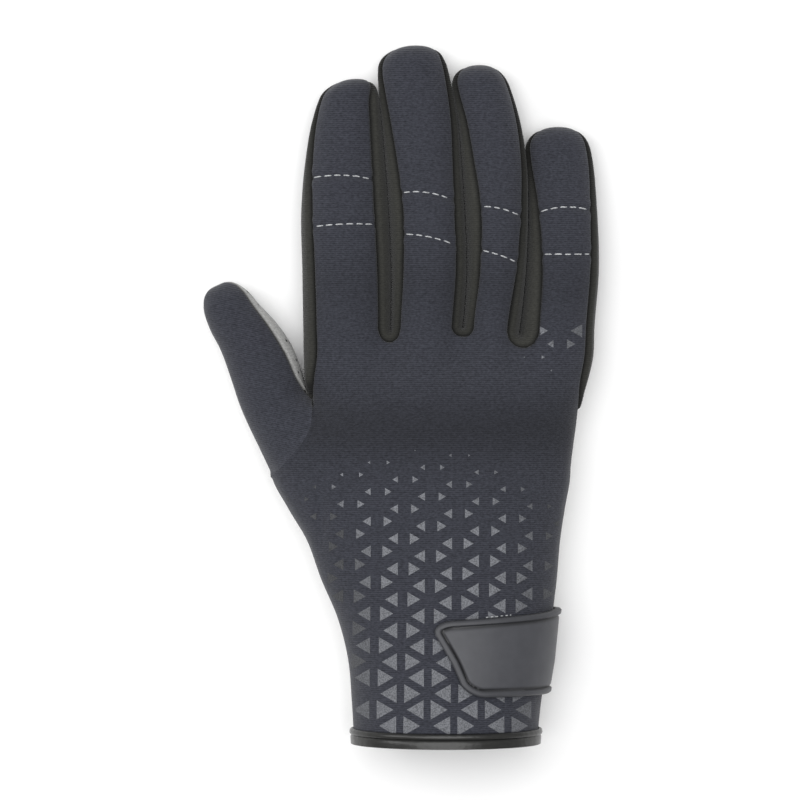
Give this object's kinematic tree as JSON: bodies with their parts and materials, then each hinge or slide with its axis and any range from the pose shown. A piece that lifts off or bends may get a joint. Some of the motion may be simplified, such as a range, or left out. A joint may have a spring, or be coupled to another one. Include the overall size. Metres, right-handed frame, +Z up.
{
  "type": "diving glove",
  "caption": "Right-hand neoprene diving glove with a printed dark back, light grey palm, knit finger sides, a bound cuff and a moulded pull strap, lying palm down.",
  "frame": {"origin": "middle of the glove's outline, on the surface that it lies on", "axes": "+Y from the cuff towards the fingertips, +Z up out of the back of the hand, +X towards the little finger"},
  "size_m": [0.1364, 0.24, 0.0473],
  "materials": {
    "navy_neoprene": "matte fine knit",
    "grey_palm": "heathered, matte",
    "black_knit": "matte fine knit",
    "glossy_tape": "glossy",
    "moulded_rubber": "satin"
  },
  "bodies": {
    "root": {"back_panel": "navy_neoprene", "palm_panel": "grey_palm", "fourchette_index_outer": "black_knit", "fourchette_index_middle": "black_knit", "fourchette_middle_ring": "black_knit", "fourchette_ring_little": "black_knit", "fourchette_little_outer": "black_knit", "thumb_back": "navy_neoprene", "thumb_palm": "grey_palm", "cuff_binding": "glossy_tape", "wrist_strap": "moulded_rubber"}
  },
  "joints": []
}
